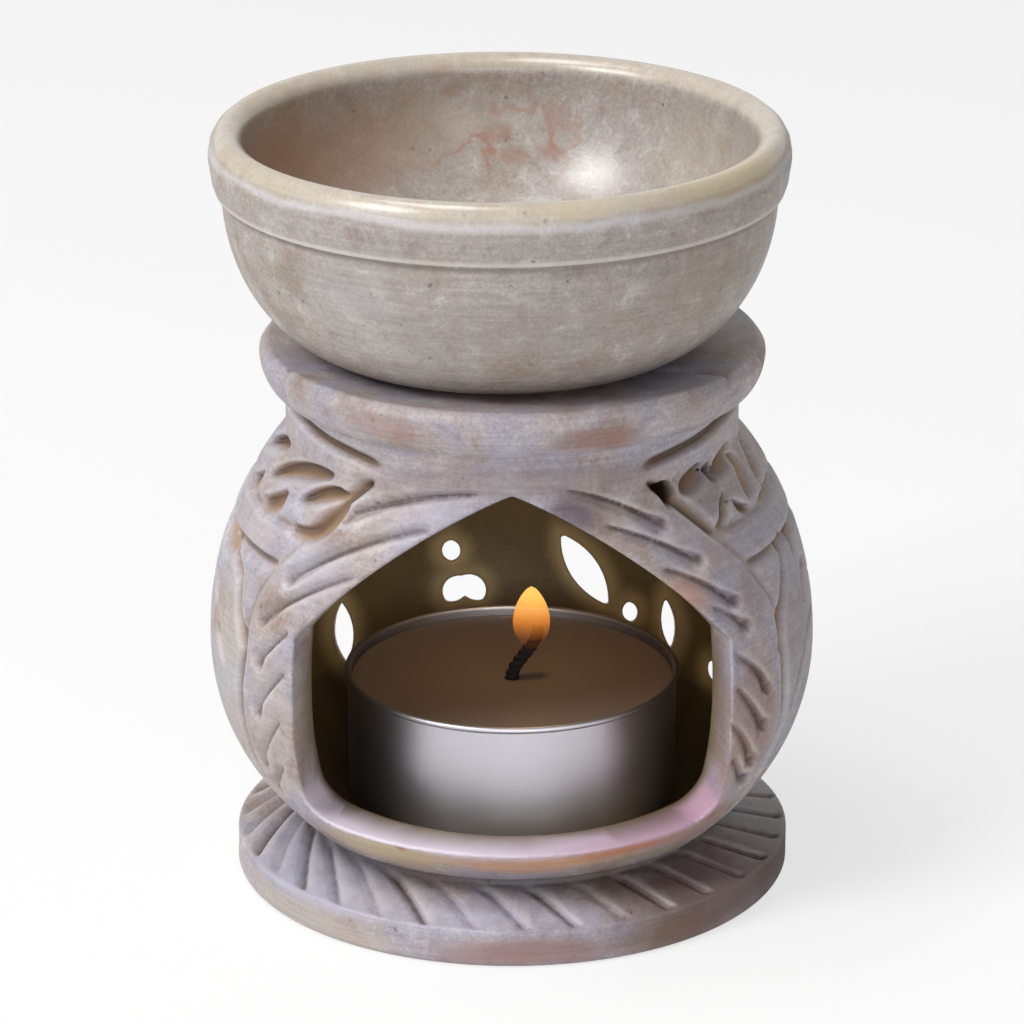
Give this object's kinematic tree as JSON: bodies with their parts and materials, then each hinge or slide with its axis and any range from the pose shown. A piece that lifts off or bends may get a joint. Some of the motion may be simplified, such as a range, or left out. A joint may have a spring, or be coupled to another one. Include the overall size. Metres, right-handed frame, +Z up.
{
  "type": "essential oil burner",
  "caption": "Turned and carved soapstone oil burner: a hollow pot with a pointed doorway and pierced leaf carving, a loose stone bowl on its collar and a tealight inside.",
  "frame": {"origin": "centre of the flat underside of the foot disc, on the turning axis", "axes": "+Z up along the turning axis, -Y out of the doorway, +X to the right seen from the doorway"},
  "size_m": [0.0682, 0.066, 0.0866],
  "materials": {
    "soapstone_body": "satin",
    "soapstone_bowl": "satin",
    "candle_aluminium": "gloss",
    "paraffin_wax": "satin",
    "charred_wick": "matte",
    "tinned_steel": "satin"
  },
  "bodies": {
    "burner": {"burner_body": "soapstone_body"},
    "bowl": {"oil_bowl": "soapstone_bowl"},
    "tealight": {"candle_cup": "candle_aluminium", "candle_wax": "paraffin_wax", "candle_wick": "charred_wick", "wick_sustainer": "tinned_steel"}
  },
  "joints": [
    {"name": "bowl_lift", "type": "slide", "parent": "burner", "child": "bowl", "axis": [0, 0, 1], "range_m": [0, 0.05]},
    {"name": "candle_lift", "type": "slide", "parent": "burner", "child": "tealight", "axis": [0, 0, 1], "range_m": [0, 0.008]}
  ]
}
